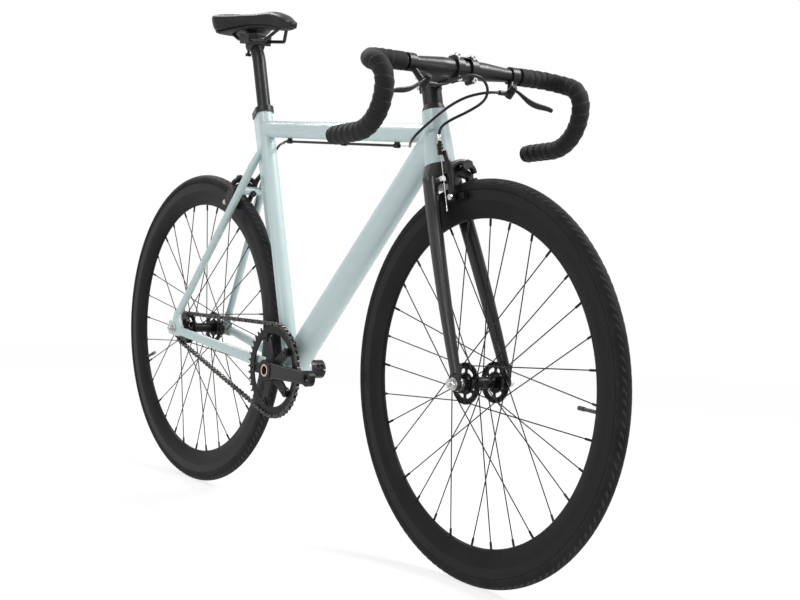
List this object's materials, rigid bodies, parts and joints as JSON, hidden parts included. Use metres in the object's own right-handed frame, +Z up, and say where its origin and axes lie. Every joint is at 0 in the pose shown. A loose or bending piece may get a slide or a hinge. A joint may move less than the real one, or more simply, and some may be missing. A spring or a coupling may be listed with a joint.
{
  "type": "fixed gear bicycle",
  "caption": "Fixed gear road bicycle with a tapering alloy frame, deep rims, drop bars with cross-top brake levers, side-pull brakes and a slim saddle, without pedals.",
  "frame": {"origin": "on the ground under the middle of the wheelbase, in the bicycle's middle plane", "axes": "+X forward, +Y to the rider's left, +Z up"},
  "size_m": [1.6339, 0.4512, 1.0132],
  "materials": {
    "frame_paint": "satin pale grey green paint",
    "black_alloy": "satin black anodised",
    "black_paint": "satin black paint",
    "rim_black": "satin black with brake track",
    "silver_steel": "bright zinc",
    "dark_steel": "dark oiled steel",
    "black_steel": "black coated steel",
    "hose": "smooth black sheath",
    "tyre": "matt rubber with shallow tread",
    "rubber": "matt rubber",
    "bar_tape": "matt padded tape",
    "plastic": "matt black plastic",
    "saddle_leather": "smooth black cover"
  },
  "bodies": {
    "frame": {"head_tube": "frame_paint", "top_tube": "frame_paint", "down_tube": "frame_paint", "seat_tube": "frame_paint", "bottom_bracket_shell": "frame_paint", "chainstays": "frame_paint", "seatstays": "frame_paint", "rear_dropouts": "frame_paint", "cable_guides": "plastic", "headset_bearings": "silver_steel", "bottom_bracket_cups": "black_alloy", "seat_clamp": "black_alloy", "rear_axle": "silver_steel", "rear_brake_bolt": "black_steel", "rear_brake_hose": "hose", "rear_brake_hose_loop": "hose", "chain": "dark_steel"},
    "seatpost": {"seatpost": "black_alloy"},
    "saddle": {"saddle_clamp": "black_alloy", "saddle_rails": "black_steel", "saddle_base": "plastic", "saddle_cover": "saddle_leather"},
    "steering": {"fork_crown": "black_paint", "fork_blades": "black_paint", "headset_spacers": "black_alloy", "stem": "black_alloy", "stem_faceplate": "black_alloy", "stem_bolts": "silver_steel", "handlebar": "black_alloy", "bar_tape": "bar_tape", "bar_end_plugs": "plastic", "lever_clamps": "black_alloy", "front_brake_bolt": "black_steel", "front_brake_hose": "hose", "front_axle": "silver_steel"},
    "lever_left": {"brake_lever_left": "black_alloy"},
    "lever_right": {"brake_lever_right": "black_alloy"},
    "front_calliper_right": {"front_brake_arm_right": "black_alloy", "front_brake_pad_right": "rubber"},
    "front_calliper_left": {"front_brake_arm_left": "black_alloy", "front_brake_pad_left": "rubber"},
    "rear_calliper_left": {"rear_brake_arm_left": "black_alloy", "rear_brake_pad_left": "rubber"},
    "rear_calliper_right": {"rear_brake_arm_right": "black_alloy", "rear_brake_pad_right": "rubber"},
    "front_wheel": {"front_tyre": "tyre", "front_inner_tube": "rubber", "front_rim": "rim_black", "front_spokes": "black_steel", "front_hub": "black_alloy"},
    "rear_wheel": {"rear_tyre": "tyre", "rear_inner_tube": "rubber", "rear_rim": "rim_black", "rear_spokes": "black_steel", "rear_hub": "black_alloy", "rear_cog": "dark_steel"},
    "crankset": {"crank_arm_right": "black_alloy", "crank_arm_left": "black_alloy", "chainring": "dark_steel", "chainring_bolts": "black_steel"}
  },
  "joints": [
    {"name": "steering", "type": "hinge", "parent": "frame", "child": "steering", "pos_m": [0.34194, 0, 0.69275], "axis": [-0.2689, 0, 0.9632], "range_deg": [-60, 60], "deforming": ["rear_brake_hose_loop"]},
    {"name": "front_wheel_spin", "type": "hinge", "parent": "steering", "child": "front_wheel", "pos_m": [0.481, 0, 0.336], "axis": [0, 1, 0], "continuous": true},
    {"name": "rear_wheel_spin", "type": "hinge", "parent": "frame", "child": "rear_wheel", "pos_m": [-0.481, 0, 0.336], "axis": [0, 1, 0], "continuous": true, "deforming": ["chain"]},
    {"name": "crank_spin", "type": "hinge", "parent": "frame", "child": "crankset", "pos_m": [-0.09787, 0, 0.2885], "axis": [0, 1, 0], "continuous": true},
    {"name": "brake_lever_left", "type": "hinge", "parent": "steering", "child": "lever_left", "pos_m": [0.41255, 0.092, 0.82814], "axis": [0.7071, 0, 0.7071], "range_deg": [0, 20], "stiffness_Nm_per_rad": 0.5, "springref_deg": -11.46},
    {"name": "brake_lever_right", "type": "hinge", "parent": "steering", "child": "lever_right", "pos_m": [0.41255, -0.092, 0.82814], "axis": [-0.7071, 0, -0.7071], "range_deg": [0, 20], "stiffness_Nm_per_rad": 0.5, "springref_deg": -11.46},
    {"name": "front_calliper_right", "type": "hinge", "parent": "steering", "child": "front_calliper_right", "pos_m": [0.3966, 0.015, 0.69555], "axis": [0.9632, 0, 0.2689], "range_deg": [0, 1.6]},
    {"name": "front_calliper_left", "type": "hinge", "parent": "steering", "child": "front_calliper_left", "pos_m": [0.38681, 0, 0.68451], "axis": [0.9632, 0, 0.2689], "range_deg": [-1.85, 0]},
    {"name": "rear_calliper_left", "type": "hinge", "parent": "frame", "child": "rear_calliper_left", "pos_m": [-0.31343, -0.015, 0.6637], "axis": [-0.8368, 0, 0.5475], "range_deg": [0, 1.6]},
    {"name": "rear_calliper_right", "type": "hinge", "parent": "frame", "child": "rear_calliper_right", "pos_m": [-0.30743, 0, 0.65022], "axis": [-0.8368, 0, 0.5475], "range_deg": [-1.85, 0]},
    {"name": "seatpost_height", "type": "slide", "parent": "frame", "child": "seatpost", "axis": [-0.2874, 0, 0.9578], "range_m": [-0.06, 0.04]},
    {"name": "saddle_tilt", "type": "hinge", "parent": "seatpost", "child": "saddle", "pos_m": [-0.30362, 0, 0.94301], "axis": [0, 1, 0], "range_deg": [-6, 6]}
  ],
  "couplings": [
    {"joint": "crank_spin", "follows": "rear_wheel_spin", "ratio": 0.35556},
    {"joint": "front_calliper_right", "follows": "brake_lever_right", "ratio": 0.077689},
    {"joint": "front_calliper_left", "follows": "brake_lever_right", "ratio": -0.089876},
    {"joint": "rear_calliper_left", "follows": "brake_lever_left", "ratio": 0.077689},
    {"joint": "rear_calliper_right", "follows": "brake_lever_left", "ratio": -0.089876}
  ]
}
